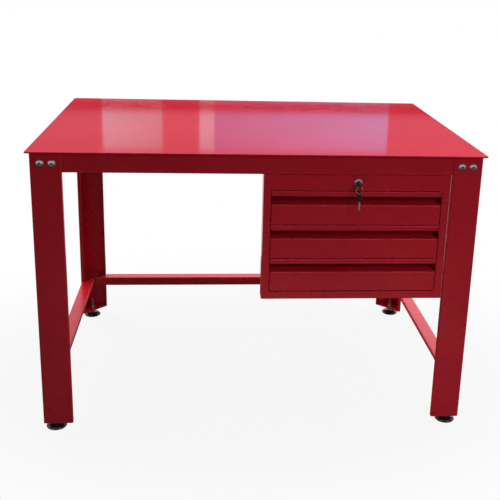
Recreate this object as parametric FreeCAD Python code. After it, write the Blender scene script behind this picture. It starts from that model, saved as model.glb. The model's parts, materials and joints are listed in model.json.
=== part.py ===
import FreeCAD, Part
import math
import os

# A painted steel workbench with a drawer unit hung under its right half.
# Millimetres. +X is right, -Y is the front, +Z is up, and the floor is z = 0.
# The origin lies on the floor, under the middle of the whole object's box.

# Worktop
worktop_width = 1200.0
worktop_depth = 850.0
worktop_height = 800.0
worktop_thickness = 4.0
worktop_overhang = 10.0
worktop_corner_radius = 4.0
worktop_edge_radius = 1.0

# Legs: angles folded from sheet, with a return lip along both free edges
leg_flange = 80.0
leg_lip = 12.0
leg_sheet = 2.5
leg_bend = 1.5
leg_clearance = 24.0

# Rails and cross members: channels folded from sheet, under the worktop
rail_height = 52.0
rail_flange = 25.0
rail_sheet = 2.0
rail_bend = 1.5
rail_end_gap = 3.0
lip_to_rail_gap = 1.0

# Stretchers: flat rectangular tubes whose ends follow the open side of the legs
stretcher_inset = 3.0
stretcher_width = 40.0
side_stretcher_height = 15.0
rear_stretcher_height = 30.0
stretcher_wall = 2.0
stretcher_corner = 3.0
stretcher_top = 150.0

# Leg bolts (M12 button heads) and their nuts
bolt_radius = 6.0
bolt_hole_gap = 0.5
bolt_thread_gap = 0.05
bolt_head_radius = 10.5
bolt_head_height = 6.6
bolt_socket_flats = 8.0
bolt_socket_depth = 4.0
bolt_below_plate = 28.5
bolt_from_edge = 26.0
bolt_spacing = 30.0
bolt_length = 20.0
bolt_nut_flats = 19.0
bolt_nut_height = 10.0

# Levelling feet (M12)
foot_from_edge = 30.0
foot_plate_thickness = 5.0
foot_plate_corner = 2.0
foot_base_radius = 28.0
foot_rim_height = 5.0
foot_base_height = 10.0
foot_neck_radius = 10.0
foot_socket_floor = 4.0
foot_stud_radius = 5.7
foot_stud_top = 66.0
foot_collar_above_base = 1.0
foot_collar_to_nut = 0.3
foot_collar_flats = 14.0
thread_gap = 0.3
foot_hole_gap = 0.8
foot_nut_flats = 18.0
foot_jam_nut_height = 7.0
foot_weld_nut_height = 10.0

# Drawer unit
cabinet_width = 500.0
cabinet_height = 350.0
cabinet_depth = 525.0
cabinet_sheet = 1.5
cabinet_to_leg_gap = 3.0
frame_stile = 20.0
frame_top_band = 43.0
frame_bottom_rail = 21.0
frame_return = 15.0
frame_depth = 43.0
body_inset = 40.0
hanger_bolt_radius = 4.0
hanger_head_flats = 13.0
hanger_head_height = 5.3
hanger_nut_height = 6.5
hanger_bolt_inset = 100.0
hanger_thread_past_nut = 2.0
carrier_inset = 53.0

# Drawers
drawer_count = 3
drawer_gap = 2.0
drawer_sheet = 1.2
drawer_bend = 0.8
drawer_panel_height = 54.0
drawer_lip_height = 14.0
pull_depth = 40.0
pull_slope_rise = 14.0
tray_setback = 50.0
tray_overlap = 20.0
tray_depth = 470.0
tray_side_height = 70.0
tray_front_height = 88.0

# Telescopic slides: three nested channels on each side of each drawer
slide_thickness = 14.0
slide_height = 36.0
slide_sheet = 1.5
slide_run_gap = 0.3
slide_web_gap = 1.0
slide_length = 460.0
slide_centre_up = 36.0

# Cam lock with a key in it, and a spare key on a ring
lock_bezel_radius = 11.0
lock_bezel_height = 5.0
lock_bezel_round = 1.5
lock_body_radius = 9.5
lock_body_length = 43.0
lock_hole_gap = 0.3
lock_nut_flats = 24.0
lock_nut_height = 5.0
plug_radius = 6.5
plug_gap = 0.05
plug_tail_radius = 4.0
plug_tail_gap = 0.05
cam_thickness = 2.5
cam_width = 14.0
cam_reach = 36.0
cam_corner = 3.0
cam_screw_radius = 2.0
cam_screw_head_radius = 5.5
cam_screw_head_height = 2.5
cam_screw_length = 8.0
cam_screw_gap = 0.05
key_thickness = 2.0
key_blade_width = 7.0
key_blade_in_plug = 24.0
key_blade_tip = 3.0
key_blade_length = 27.0
key_slot_gap = 0.05
key_shoulder = 3.0
bow_thickness = 3.6
bow_width = 18.0
bow_length = 26.0
bow_corner = 6.0
bow_overlap = 8.0
bow_hole_length = 12.0
bow_hole_width = 6.0
bow_hole_from_end = 6.5
ring_radius = 8.7
ring_wire = 0.8
ring_swing_gap = 0.1
spare_hang_gap = 0.45
spare_turn = 30.0

# Places that follow from the sizes above
worktop_underside = worktop_height - worktop_thickness
rail_bottom = worktop_underside - rail_height
bolt_z = worktop_underside - bolt_below_plate
leg_outer_x = worktop_width / 2.0 - worktop_overhang
spare_slant = math.radians(spare_turn)
spare_half_depth = (bow_width * math.cos(spare_slant) + bow_thickness * math.sin(spare_slant)) / 2.0
ring_reach = lock_bezel_height + key_shoulder + bow_length - bow_hole_from_end
key_reach_from_frame = ring_reach + max(bow_hole_from_end, spare_half_depth)
frame_setback = worktop_overhang + leg_sheet
key_reach = key_reach_from_frame - frame_setback
worktop_back = (worktop_depth + key_reach) / 2.0
worktop_front = worktop_back - worktop_depth
leg_front = worktop_front + worktop_overhang
leg_back = worktop_back - worktop_overhang
rail_front = leg_front + leg_sheet
rail_back = leg_back - leg_sheet

cabinet_right = leg_outer_x - leg_flange - cabinet_to_leg_gap
cabinet_left = cabinet_right - cabinet_width
cabinet_top = rail_bottom
cabinet_bottom = cabinet_top - cabinet_height
cabinet_front = rail_front
cabinet_back = cabinet_front + cabinet_depth
opening_left = cabinet_left + frame_stile
opening_right = cabinet_right - frame_stile
opening_top = cabinet_top - frame_top_band
opening_bottom = cabinet_bottom + frame_bottom_rail
drawer_pitch = (opening_top - opening_bottom - drawer_gap) / drawer_count
drawer_height = drawer_pitch - drawer_gap
drawer_left = opening_left + drawer_gap
drawer_right = opening_right - drawer_gap
body_left = cabinet_left + body_inset
body_right = cabinet_right - body_inset
body_front = cabinet_front + frame_depth
tray_left = body_left + slide_thickness
tray_right = body_right - slide_thickness
tray_front = cabinet_front + tray_setback
tray_back = tray_front + tray_depth
lock_x = (cabinet_left + cabinet_right) / 2.0
lock_z = cabinet_top - frame_top_band / 2.0
lock_face = cabinet_front - lock_bezel_height
lock_back = cabinet_front + lock_body_length
carrier_left = cabinet_left + carrier_inset
carrier_right = cabinet_right - carrier_inset - rail_flange
carrier_alone = -(carrier_left + carrier_right) / 2.0

UP = FreeCAD.Vector(0, 0, 1)
BACK = FreeCAD.Vector(0, 1, 0)
RIGHT = FreeCAD.Vector(1, 0, 0)


def box(x0, x1, y0, y1, z0, z1):
    """A block between two opposite corners."""
    corner = FreeCAD.Vector(x0, y0, z0)
    return Part.makeBox(x1 - x0, y1 - y0, z1 - z0, corner)


def rod(radius, start, length, axis):
    """A round bar from a start point along an axis."""
    return Part.makeCylinder(radius, length, start, axis)


def hexagon(flats, start, length, axis):
    """A six-sided bar, measured across its flats, along an axis."""
    radius = flats / math.sqrt(3.0)
    side = BACK if abs(axis.z) > 0.5 else UP
    other = axis.cross(side)
    points = []
    for step in range(7):
        angle = math.radians(60.0 * step)
        points.append(start + side * (radius * math.cos(angle)) + other * (radius * math.sin(angle)))
    return Part.Face(Part.makePolygon(points)).extrude(axis * length)


def nut(flats, bore, start, length, axis):
    """A hexagon nut with a plain bore."""
    return hexagon(flats, start, length, axis).cut(rod(bore, start, length, axis))


def outline(points, radii, place):
    """A closed outline with rounded corners, put in space by place(u, v)."""
    count = len(points)
    starts = []
    ends = []
    middles = []
    for index in range(count):
        here = FreeCAD.Vector(points[index][0], points[index][1], 0)
        before = FreeCAD.Vector(points[index - 1][0], points[index - 1][1], 0)
        following = points[(index + 1) % count]
        after = FreeCAD.Vector(following[0], following[1], 0)
        into = (before - here).normalize()
        out = (after - here).normalize()
        half = into.getAngle(out) / 2.0
        reach = radii[index] / math.tan(half)
        middle = (into + out).normalize() * (radii[index] / math.sin(half) - radii[index])
        starts.append(here + into * reach)
        ends.append(here + out * reach)
        middles.append(here + middle)
    edges = []
    for index in range(count):
        if radii[index] > 0:
            arc = [place(p.x, p.y) for p in (starts[index], middles[index], ends[index])]
            edges.append(Part.Arc(*arc).toShape())
        line_start = ends[index]
        line_end = starts[(index + 1) % count]
        if line_start.distanceToPoint(line_end) > 1e-6:
            edges.append(Part.makeLine(place(line_start.x, line_start.y), place(line_end.x, line_end.y)))
    return Part.Wire(Part.__sortEdges__(edges))


def slab(points, radii, place, along):
    """A flat piece with rounded corners, extruded along a vector."""
    return Part.Face(outline(points, radii, place)).extrude(along)


def folded(path, sheet, bend, place, along):
    """Folded sheet: path is its outer face, and the sheet lies to the right of the path."""
    inner = []
    count = len(path)
    for index in range(count):
        sides = []
        for first in (index - 1, index):
            if 0 <= first < count - 1:
                start = path[first]
                end = path[first + 1]
                length = math.hypot(end[0] - start[0], end[1] - start[1])
                sides.append(((end[1] - start[1]) / length, (start[0] - end[0]) / length))
        normal_u = sum(side[0] for side in sides)
        normal_v = sum(side[1] for side in sides)
        scale = sheet * len(sides) / (normal_u * normal_u + normal_v * normal_v)
        inner.append((path[index][0] + normal_u * scale, path[index][1] + normal_v * scale))
    outer_radii = [0.0] * count
    inner_radii = [0.0] * count
    for index in range(1, count - 1):
        into = (path[index][0] - path[index - 1][0], path[index][1] - path[index - 1][1])
        out = (path[index + 1][0] - path[index][0], path[index + 1][1] - path[index][1])
        turns_right = into[0] * out[1] - into[1] * out[0] < 0
        outer_radii[index] = bend + sheet if turns_right else bend
        inner_radii[index] = bend if turns_right else bend + sheet
    points = path + inner[::-1]
    radii = outer_radii + inner_radii[::-1]
    return slab(points, radii, place, along)


def save(name, *solids):
    """Writes one named piece, or one named group of equal pieces."""
    shape = solids[0] if len(solids) == 1 else Part.makeCompound(list(solids))
    shape.exportStep("parts/" + name + ".step")


def leg_place(side, end, z):
    """Leg coordinates: u runs inward from the outer side, v inward from the front or back."""
    base_y = leg_front if end < 0 else leg_back
    return lambda u, v: FreeCAD.Vector(side * (leg_outer_x - u), base_y - end * v, z)


LEGS = (("front_left", -1, -1), ("front_right", 1, -1), ("rear_left", -1, 1), ("rear_right", 1, 1))


def make_worktop():
    half = worktop_width / 2.0
    corners = [(-half, worktop_front), (half, worktop_front), (half, worktop_back), (-half, worktop_back)]
    place = lambda u, v: FreeCAD.Vector(u, v, worktop_underside)
    plate = slab(corners, [worktop_corner_radius] * 4, place, UP * worktop_thickness)
    rims = [edge for face in plate.Faces if abs(face.normalAt(0, 0).z) > 0.5 for edge in face.Edges]
    save("worktop", plate.makeFillet(worktop_edge_radius, rims))


def leg_bolt_places():
    """Start point and direction, from the outer face inward, of each leg bolt."""
    places = []
    for name, side, end in LEGS:
        for step in range(2):
            place = leg_place(side, end, bolt_z)
            places.append((place(bolt_from_edge + step * bolt_spacing, 0), BACK * -end))
    return places


def make_legs():
    path = [(leg_flange, leg_lip), (leg_flange, 0.0), (0.0, 0.0), (0.0, leg_flange), (leg_lip, leg_flange)]
    lip_top = rail_bottom - lip_to_rail_gap
    for name, side, end in LEGS:
        place = leg_place(side, end, leg_clearance)
        leg = folded(path, leg_sheet, leg_bend, place, UP * (worktop_underside - leg_clearance))
        above = leg_place(side, end, lip_top)
        lip_depth = leg_lip + leg_sheet
        for near in (0, 1):
            spans = [(leg_flange - lip_depth, leg_flange + 1.0), (leg_sheet, lip_depth)]
            us, vs = spans if near == 0 else spans[::-1]
            notch = [(us[0], vs[0]), (us[1], vs[0]), (us[1], vs[1]), (us[0], vs[1])]
            leg = leg.cut(slab(notch, [0.0] * 4, above, UP * (worktop_underside - lip_top)))
        for start, axis in leg_bolt_places():
            leg = leg.cut(rod(bolt_radius + bolt_hole_gap, start - axis, leg_sheet + 2.0, axis))
        save(name + "_leg", leg)


def make_rails():
    end_x = leg_outer_x - leg_sheet - rail_end_gap
    channel = [
        (rail_flange, worktop_underside),
        (0.0, worktop_underside),
        (0.0, rail_bottom),
        (rail_flange, rail_bottom),
    ]
    # The path runs so that the sheet lies inside the channel.
    path = channel[::-1]
    for name, wall, inward in (("front_rail", rail_front, 1), ("rear_rail", rail_back, -1)):
        place = lambda u, v: FreeCAD.Vector(-end_x, wall + inward * u, v)
        rail = folded(path, rail_sheet, rail_bend, place, RIGHT * (2.0 * end_x))
        for start, axis in leg_bolt_places():
            rail = rail.cut(rod(bolt_radius + bolt_hole_gap, start, leg_sheet + rail_sheet + 1.0, axis))
        save(name, rail)
    start_y = rail_front + rail_flange
    length = rail_back - rail_flange - start_y
    for name, side in (("left_rail", -1), ("right_rail", 1)):
        place = lambda u, v: FreeCAD.Vector(side * (leg_outer_x - leg_sheet - u), start_y, v)
        save(name, folded(path, rail_sheet, rail_bend, place, BACK * length))
    members = []
    for left in (carrier_alone, carrier_left, carrier_right):
        place = lambda u, v: FreeCAD.Vector(left + u, start_y, v)
        member = folded(path, rail_sheet, rail_bend, place, BACK * length)
        for start in hanger_places():
            member = member.cut(rod(hanger_bolt_radius + bolt_hole_gap, start, 3.0 * rail_sheet, UP))
        members.append(member)
    save("cross_members", *members)


def make_stretchers():
    near = stretcher_wall
    far = stretcher_width - stretcher_wall
    outer_radii = [stretcher_corner] * 4
    inner_radii = [stretcher_corner - stretcher_wall] * 4

    def tube(height, place, along):
        bottom = stretcher_top - height
        width = stretcher_width
        corners = [(0, bottom), (width, bottom), (width, stretcher_top), (0, stretcher_top)]
        low = bottom + stretcher_wall
        high = stretcher_top - stretcher_wall
        inside = [(near, low), (far, low), (far, high), (near, high)]
        return slab(corners, outer_radii, place, along).cut(slab(inside, inner_radii, place, along))

    # The open side of a leg is the line u + v = leg_flange + leg_lip, and the tubes stop there.
    reach = leg_flange + leg_lip
    tallest = max(side_stretcher_height, rear_stretcher_height)
    corner_blocks = []
    for name, side, end in LEGS:
        place = leg_place(side, end, stretcher_top - tallest - 1.0)
        triangle = [(-reach, -reach), (2.0 * reach, -reach), (-reach, 2.0 * reach)]
        corner_blocks.append(slab(triangle, [0.0] * 3, place, UP * (tallest + 2.0)))

    def trimmed(shape):
        for block in corner_blocks:
            shape = shape.cut(block)
        return shape

    for name, side in (("left_stretcher", -1), ("right_stretcher", 1)):
        place = lambda u, v: FreeCAD.Vector(side * (leg_outer_x - stretcher_inset - u), leg_front, v)
        save(name, trimmed(tube(side_stretcher_height, place, BACK * (leg_back - leg_front))))
    place = lambda u, v: FreeCAD.Vector(-leg_outer_x, leg_back - stretcher_inset - u, v)
    save("rear_stretcher", trimmed(tube(rear_stretcher_height, place, RIGHT * (2.0 * leg_outer_x))))


def make_leg_bolts():
    bolts = []
    nuts = []
    for start, axis in leg_bolt_places():
        shank = rod(bolt_radius, start, bolt_length, axis)
        # A button head: a spherical cap on the flange.
        cap_radius = (bolt_head_radius ** 2 + bolt_head_height ** 2) / (2.0 * bolt_head_height)
        ball = Part.makeSphere(cap_radius, start + axis * (cap_radius - bolt_head_height))
        head = ball.common(rod(bolt_head_radius, start - axis * bolt_head_height, bolt_head_height, axis))
        socket = hexagon(bolt_socket_flats, start - axis * bolt_head_height, bolt_socket_depth, axis)
        bolts.append(head.fuse(shank).cut(socket).removeSplitter())
        seat = start + axis * (leg_sheet + rail_sheet)
        nuts.append(nut(bolt_nut_flats, bolt_radius + bolt_thread_gap, seat, bolt_nut_height, axis))
    save("leg_bolts", *bolts)
    save("leg_nuts", *nuts)


def make_feet():
    inner = leg_flange - leg_sheet
    outer = leg_sheet
    corners = [(outer, outer), (inner, outer), (inner, leg_lip), (leg_lip, inner), (outer, inner)]
    radii = [foot_plate_corner, foot_plate_corner, 0.0, 0.0, foot_plate_corner]
    bore = foot_stud_radius + thread_gap
    plates = []
    nuts = []
    for name, side, end in LEGS:
        ground = leg_place(side, end, 0.0)(foot_from_edge, foot_from_edge)
        under = ground + UP * leg_clearance
        hole = rod(foot_stud_radius + foot_hole_gap, under, foot_plate_thickness, UP)
        place = leg_place(side, end, leg_clearance)
        plates.append(slab(corners, radii, place, UP * foot_plate_thickness).cut(hole))
        nuts.append(nut(foot_nut_flats, bore, under - UP * foot_jam_nut_height, foot_jam_nut_height, UP))
        nuts.append(nut(foot_nut_flats, bore, under + UP * foot_plate_thickness, foot_weld_nut_height, UP))
        rim = rod(foot_base_radius, ground, foot_rim_height, UP)
        cone_height = foot_base_height - foot_rim_height
        rim_top = ground + UP * foot_rim_height
        cone = Part.makeCone(foot_base_radius, foot_neck_radius, cone_height, rim_top, UP)
        socket = rod(bore, ground + UP * foot_socket_floor, foot_base_height, UP)
        save("foot_base_" + name, rim.fuse(cone).cut(socket).removeSplitter())
        stud = rod(foot_stud_radius, ground + UP * foot_socket_floor, foot_stud_top - foot_socket_floor, UP)
        collar_bottom = foot_base_height + foot_collar_above_base
        collar_height = leg_clearance - foot_jam_nut_height - foot_collar_to_nut - collar_bottom
        collar = hexagon(foot_collar_flats, ground + UP * collar_bottom, collar_height, UP)
        save("foot_stud_" + name, stud.fuse(collar).removeSplitter())
    save("foot_plates", *plates)
    save("foot_nuts", *nuts)


def hanger_places():
    """Where the four bolts pass up through the drawer unit's top into the cross members."""
    places = []
    for left in (carrier_left, carrier_right):
        for y in (cabinet_front + hanger_bolt_inset, cabinet_back - hanger_bolt_inset):
            x = left + (rail_sheet + rail_flange) / 2.0
            places.append(FreeCAD.Vector(x, y, cabinet_top - cabinet_sheet))
    return places


def make_cabinet():
    sheet = cabinet_sheet
    inside_front = cabinet_front + sheet
    floor_top = cabinet_bottom + sheet
    roof_bottom = cabinet_top - sheet
    # The face frame is a shallow box, open at the back, with a collar round its window.
    shell = box(cabinet_left, cabinet_right, cabinet_front, body_front, cabinet_bottom, cabinet_top)
    room = box(cabinet_left + sheet, cabinet_right - sheet, inside_front, body_front, floor_top, roof_bottom)
    depth = cabinet_front + frame_return
    collar = box(opening_left - sheet, opening_right + sheet, cabinet_front, depth,
                 opening_bottom - sheet, opening_top + sheet)
    window = box(opening_left, opening_right, cabinet_front - 1.0, depth + 1.0, opening_bottom, opening_top)
    lock_hole = rod(lock_body_radius + lock_hole_gap, FreeCAD.Vector(lock_x, cabinet_front - 1.0, lock_z),
                    sheet + 2.0, BACK)
    frame = shell.cut(room).fuse(collar).cut(window).cut(lock_hole).removeSplitter()
    save("front_frame", frame)
    # The body behind it is narrower: each side is folded out to the frame's edge.
    path = [(body_inset, cabinet_back - body_front), (body_inset, 0.0), (0.0, 0.0)]
    for name, edge, inward in (("left", cabinet_left, 1), ("right", cabinet_right, -1)):
        place = lambda u, v: FreeCAD.Vector(edge + inward * u, body_front + v, cabinet_bottom)
        save("cabinet_" + name + "_side", folded(path, sheet, sheet / 2.0, place, UP * cabinet_height))
    roof = box(body_left, body_right, body_front, cabinet_back, roof_bottom, cabinet_top)
    for start in hanger_places():
        roof = roof.cut(rod(hanger_bolt_radius + bolt_hole_gap, start, sheet, UP))
    save("cabinet_top", roof)
    save("cabinet_bottom", box(body_left, body_right, body_front, cabinet_back, cabinet_bottom, floor_top))
    back = box(body_left, body_right, cabinet_back - sheet, cabinet_back, floor_top, roof_bottom)
    save("cabinet_back", back)
    bolts = []
    nuts = []
    for start in hanger_places():
        head = hexagon(hanger_head_flats, start - UP * hanger_head_height, hanger_head_height, UP)
        seat = start + UP * (sheet + rail_sheet)
        shank_length = sheet + rail_sheet + hanger_nut_height + hanger_thread_past_nut
        bolts.append(head.fuse(rod(hanger_bolt_radius, start, shank_length, UP)).removeSplitter())
        bore = hanger_bolt_radius + bolt_thread_gap
        nuts.append(nut(hanger_head_flats, bore, seat, hanger_nut_height, UP))
    save("hanger_bolts", *bolts)
    save("hanger_nuts", *nuts)


def slide_channel(wall, side, near, far, height, opens_far, z):
    """One slide member: a channel between two distances from the drawer unit's side."""
    half = height / 2.0
    if opens_far:
        path = [(far, -half), (near, -half), (near, half), (far, half)]
    else:
        path = [(near, half), (far, half), (far, -half), (near, -half)]
    place = lambda u, v: FreeCAD.Vector(wall + side * u, tray_front, z + v)
    return folded(path, slide_sheet, slide_sheet / 2.0, place, BACK * slide_length)


def make_slides():
    step = 2.0 * (slide_sheet + slide_run_gap)
    middle_near = slide_sheet + slide_web_gap
    inner_near = middle_near + slide_sheet + slide_web_gap
    outers = []
    for index in range(drawer_count):
        z = drawer_bottom(index) + slide_centre_up
        middles = []
        inners = []
        for side, wall in ((1, body_left), (-1, body_right)):
            far = slide_thickness - slide_sheet - slide_web_gap
            middle_height = slide_height - step
            inner_height = middle_height - step
            outers.append(slide_channel(wall, side, 0.0, far, slide_height, True, z))
            middles.append(slide_channel(wall, side, middle_near, far, middle_height, True, z))
            inners.append(slide_channel(wall, side, inner_near, slide_thickness, inner_height, False, z))
        save("drawer_%d_slide_middles" % (index + 1), *middles)
        save("drawer_%d_slide_inners" % (index + 1), *inners)
    save("slide_outers", *outers)


def drawer_bottom(index):
    """Underside of a drawer front, counted from the top drawer."""
    return opening_top - (index + 1) * drawer_pitch


def make_drawers():
    sheet = drawer_sheet
    lip_bottom = drawer_height - drawer_lip_height
    profile = [
        (tray_setback + tray_overlap, 0.0),
        (0.0, 0.0),
        (0.0, drawer_panel_height),
        (pull_depth, drawer_panel_height + pull_slope_rise),
        (pull_depth, drawer_height - sheet),
        (sheet, drawer_height - sheet),
        (sheet, lip_bottom),
    ]
    for index in range(drawer_count):
        bottom = drawer_bottom(index)
        place = lambda u, v: FreeCAD.Vector(drawer_left, cabinet_front + u, bottom + v)
        front = folded(profile, sheet, drawer_bend, place, RIGHT * (drawer_right - drawer_left))
        # Behind the pull, the bottom flange is only as wide as the tray it carries.
        pull_back = cabinet_front + pull_depth + sheet
        flange_back = tray_front + tray_overlap
        for left, right in ((drawer_left, tray_left), (tray_right, drawer_right)):
            front = front.cut(box(left, right, pull_back, flange_back, bottom, bottom + sheet))
        save("drawer_%d_front" % (index + 1), front)
        floor = bottom + sheet
        tray = box(tray_left, tray_right, tray_front, tray_back, floor, bottom + tray_side_height)
        wall = box(tray_left, tray_right, tray_front, tray_front + sheet, floor, bottom + tray_front_height)
        room = box(tray_left + sheet, tray_right - sheet, tray_front + sheet, tray_back - sheet,
                   floor + sheet, bottom + tray_front_height)
        save("drawer_%d_tray" % (index + 1), tray.fuse(wall).cut(room).removeSplitter())


def key_pieces(origin, blade_length, turn):
    """Blade and bow of a key that points along +Y from origin, where the bow meets the shoulder."""
    half = key_thickness / 2.0
    blade_half = key_blade_width / 2.0
    tip = [
        (-bow_overlap, -blade_half),
        (blade_length - key_blade_tip, -blade_half),
        (blade_length, -blade_half + key_blade_tip),
        (blade_length, blade_half - key_blade_tip),
        (blade_length - key_blade_tip, blade_half),
        (-bow_overlap, blade_half),
    ]
    place = lambda u, v: FreeCAD.Vector(-half, u, v)
    blade = slab(tip, [0.0] * len(tip), place, RIGHT * key_thickness)
    wide = bow_width / 2.0
    corners = [(-bow_length, -wide), (0.0, -wide), (0.0, wide), (-bow_length, wide)]
    bow_half = bow_thickness / 2.0
    place = lambda u, v: FreeCAD.Vector(-bow_half, u, v)
    bow = slab(corners, [bow_corner] * 4, place, RIGHT * bow_thickness)
    hole_y = -bow_length + bow_hole_from_end
    hole_half = bow_hole_length / 2.0
    hole_wide = bow_hole_width / 2.0
    hole = [
        (hole_y - hole_wide, -hole_half),
        (hole_y + hole_wide, -hole_half),
        (hole_y + hole_wide, hole_half),
        (hole_y - hole_wide, hole_half),
    ]
    round_ends = hole_wide - 0.01
    bow = bow.cut(slab(hole, [round_ends] * 4, place, RIGHT * bow_thickness)).cut(blade)
    pieces = []
    for piece in (blade, bow):
        piece.rotate(FreeCAD.Vector(0, 0, 0), RIGHT, turn)
        piece.translate(origin)
        pieces.append(piece)
    return pieces


def make_lock():
    axis = lambda y: FreeCAD.Vector(lock_x, y, lock_z)
    bezel = rod(lock_bezel_radius, axis(lock_face), lock_bezel_height, BACK)
    rims = [edge for edge in bezel.Edges if edge.Curve.TypeId == "Part::GeomCircle"]
    front_rim = min(rims, key=lambda edge: edge.CenterOfMass.y)
    bezel = bezel.makeFillet(lock_bezel_round, [front_rim])
    body = rod(lock_body_radius, axis(cabinet_front), lock_body_length, BACK)
    bore = rod(plug_radius + plug_gap, axis(lock_face), lock_bezel_height + lock_body_length, BACK)
    save("lock_barrel", bezel.fuse(body).cut(bore).removeSplitter())
    seat = axis(cabinet_front + cabinet_sheet)
    save("lock_nut", nut(lock_nut_flats, lock_body_radius + bolt_thread_gap, seat, lock_nut_height, BACK))

    cam_back = lock_back + cam_thickness
    tail = rod(plug_tail_radius, axis(lock_back), cam_thickness, BACK)
    plug = rod(plug_radius, axis(lock_face), lock_back - lock_face, BACK).fuse(tail).removeSplitter()
    slot_half = key_thickness / 2.0 + key_slot_gap
    slot_wide = key_blade_width / 2.0 + key_slot_gap
    slot_end = lock_face + key_blade_in_plug + key_slot_gap
    slot = box(lock_x - slot_half, lock_x + slot_half, lock_face, slot_end,
               lock_z - slot_wide, lock_z + slot_wide)
    screw_tip = axis(cam_back - cam_screw_length)
    screw_hole = rod(cam_screw_radius + cam_screw_gap, screw_tip, cam_screw_length, BACK)
    save("lock_plug", plug.cut(slot).cut(screw_hole))

    half = cam_width / 2.0
    corners = [(-cam_reach, -half), (half, -half), (half, half), (-cam_reach, half)]
    place = lambda u, v: FreeCAD.Vector(lock_x + u, lock_back, lock_z + v)
    round_end = half - 0.01
    cam = slab(corners, [cam_corner, round_end, round_end, cam_corner], place, BACK * cam_thickness)
    save("lock_cam", cam.cut(rod(plug_tail_radius + plug_tail_gap, axis(lock_back), cam_thickness, BACK)))
    head = rod(cam_screw_head_radius, axis(cam_back), cam_screw_head_height, BACK)
    shank = rod(cam_screw_radius, screw_tip, cam_screw_length, BACK)
    save("cam_screw", head.fuse(shank).removeSplitter())

    shoulder = axis(lock_face - key_shoulder)
    blade, bow = key_pieces(shoulder, key_shoulder + key_blade_in_plug, 0.0)
    save("key_blade", blade)
    save("key_bow", bow)

    # The ring hangs round the bar below the bow's hole, with room to swing about it.
    hole_y = cabinet_front - ring_reach
    bar_height = (bow_width - bow_hole_length) / 2.0
    bar_z = lock_z - (bow_hole_length + bar_height) / 2.0
    ring_drop = ring_radius - ring_wire - ring_swing_gap - math.hypot(bow_thickness, bar_height) / 2.0
    ring_z = bar_z - ring_drop
    ring_middle = FreeCAD.Vector(lock_x, hole_y, ring_z)
    save("key_ring", Part.makeTorus(ring_radius, ring_wire, ring_middle, BACK))

    # The spare key hangs straight down from the ring, turned a little about the vertical.
    hang_z = ring_z - ring_radius + ring_wire + spare_hang_gap
    spare_z = hang_z - bow_hole_width / 2.0 - (bow_length - bow_hole_from_end)
    pieces = key_pieces(FreeCAD.Vector(0, 0, 0), key_blade_length, -90.0)
    for name, piece in zip(("spare_key_blade", "spare_key_bow"), pieces):
        piece.rotate(FreeCAD.Vector(0, 0, 0), UP, spare_turn)
        piece.translate(FreeCAD.Vector(lock_x, hole_y, spare_z))
        save(name, piece)


os.makedirs("parts", exist_ok=True)
make_worktop()
make_legs()
make_rails()
make_stretchers()
make_leg_bolts()
make_feet()
make_cabinet()
make_slides()
make_drawers()
make_lock()
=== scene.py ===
import json
import math

import bpy
from mathutils import Matrix, Vector

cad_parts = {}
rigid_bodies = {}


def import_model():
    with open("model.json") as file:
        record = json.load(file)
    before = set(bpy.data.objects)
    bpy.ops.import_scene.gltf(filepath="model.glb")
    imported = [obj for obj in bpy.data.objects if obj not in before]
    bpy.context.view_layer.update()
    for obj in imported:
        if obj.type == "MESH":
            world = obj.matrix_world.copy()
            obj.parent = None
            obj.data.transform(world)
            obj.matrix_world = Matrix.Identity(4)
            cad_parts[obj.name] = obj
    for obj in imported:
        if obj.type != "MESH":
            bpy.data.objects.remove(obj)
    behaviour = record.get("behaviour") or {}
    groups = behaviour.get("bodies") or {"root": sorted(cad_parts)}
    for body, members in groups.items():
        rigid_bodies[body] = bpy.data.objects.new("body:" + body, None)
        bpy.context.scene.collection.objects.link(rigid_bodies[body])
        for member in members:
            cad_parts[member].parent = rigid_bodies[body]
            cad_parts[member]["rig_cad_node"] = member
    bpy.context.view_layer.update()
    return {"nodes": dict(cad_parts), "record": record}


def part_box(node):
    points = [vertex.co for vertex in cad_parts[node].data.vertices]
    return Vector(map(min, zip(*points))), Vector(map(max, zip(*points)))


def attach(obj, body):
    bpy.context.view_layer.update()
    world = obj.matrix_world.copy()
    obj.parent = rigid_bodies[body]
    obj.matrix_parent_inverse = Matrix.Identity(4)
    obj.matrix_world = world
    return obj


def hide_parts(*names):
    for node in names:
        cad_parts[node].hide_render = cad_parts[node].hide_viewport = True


bl_info = {
    "name": "Painted Steel Workbench",
    "version": (1, 0, 0),
    "blender": (4, 5, 0),
    "location": "View3D > Sidebar > Workbench",
    "description": "Dresses the workbench: powder coat, plating, folded fronts, lock, keys and feet",
    "category": "Add Mesh",
}

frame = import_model()
nodes = frame["nodes"]

MM = 0.001
FEET = ("front_left", "front_right", "rear_left", "rear_right")
ORIGIN, UP = (0, 0, 0), (0, 0, 1)
PARALLEL = 0.9  # cosine from which a direction counts as lying along an axis
WELD = 0.01 * MM  # points nearer than this become one
SLIVER = 0.003 * MM  # faces and edges thinner than this are taken out
NUT_FACE = 0.485  # radius of a hexagon's turned end face, as a share of its flats
NUT_FALL = 0.045  # height of a nut's chamfer, as a share of its flats
LAMP_TINT = (1.0, 0.985, 0.975)  # a little warmer than white


def length_property(name, description, millimetres):
    """A length that a user may change, with its default in millimetres."""
    return bpy.props.FloatProperty(name=name, description=description, unit="LENGTH",
                                   default=millimetres * MM)


def colour_property(name, description, default, most=1.0):
    """A colour that a user may change."""
    return bpy.props.FloatVectorProperty(name=name, description=description, subtype="COLOR", size=3,
                                         min=0, max=most, default=default)


def power_property(name, description, watts):
    """A lamp's power that a user may change."""
    return bpy.props.FloatProperty(name=name, description=description, unit="POWER", min=0, default=watts)


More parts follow.
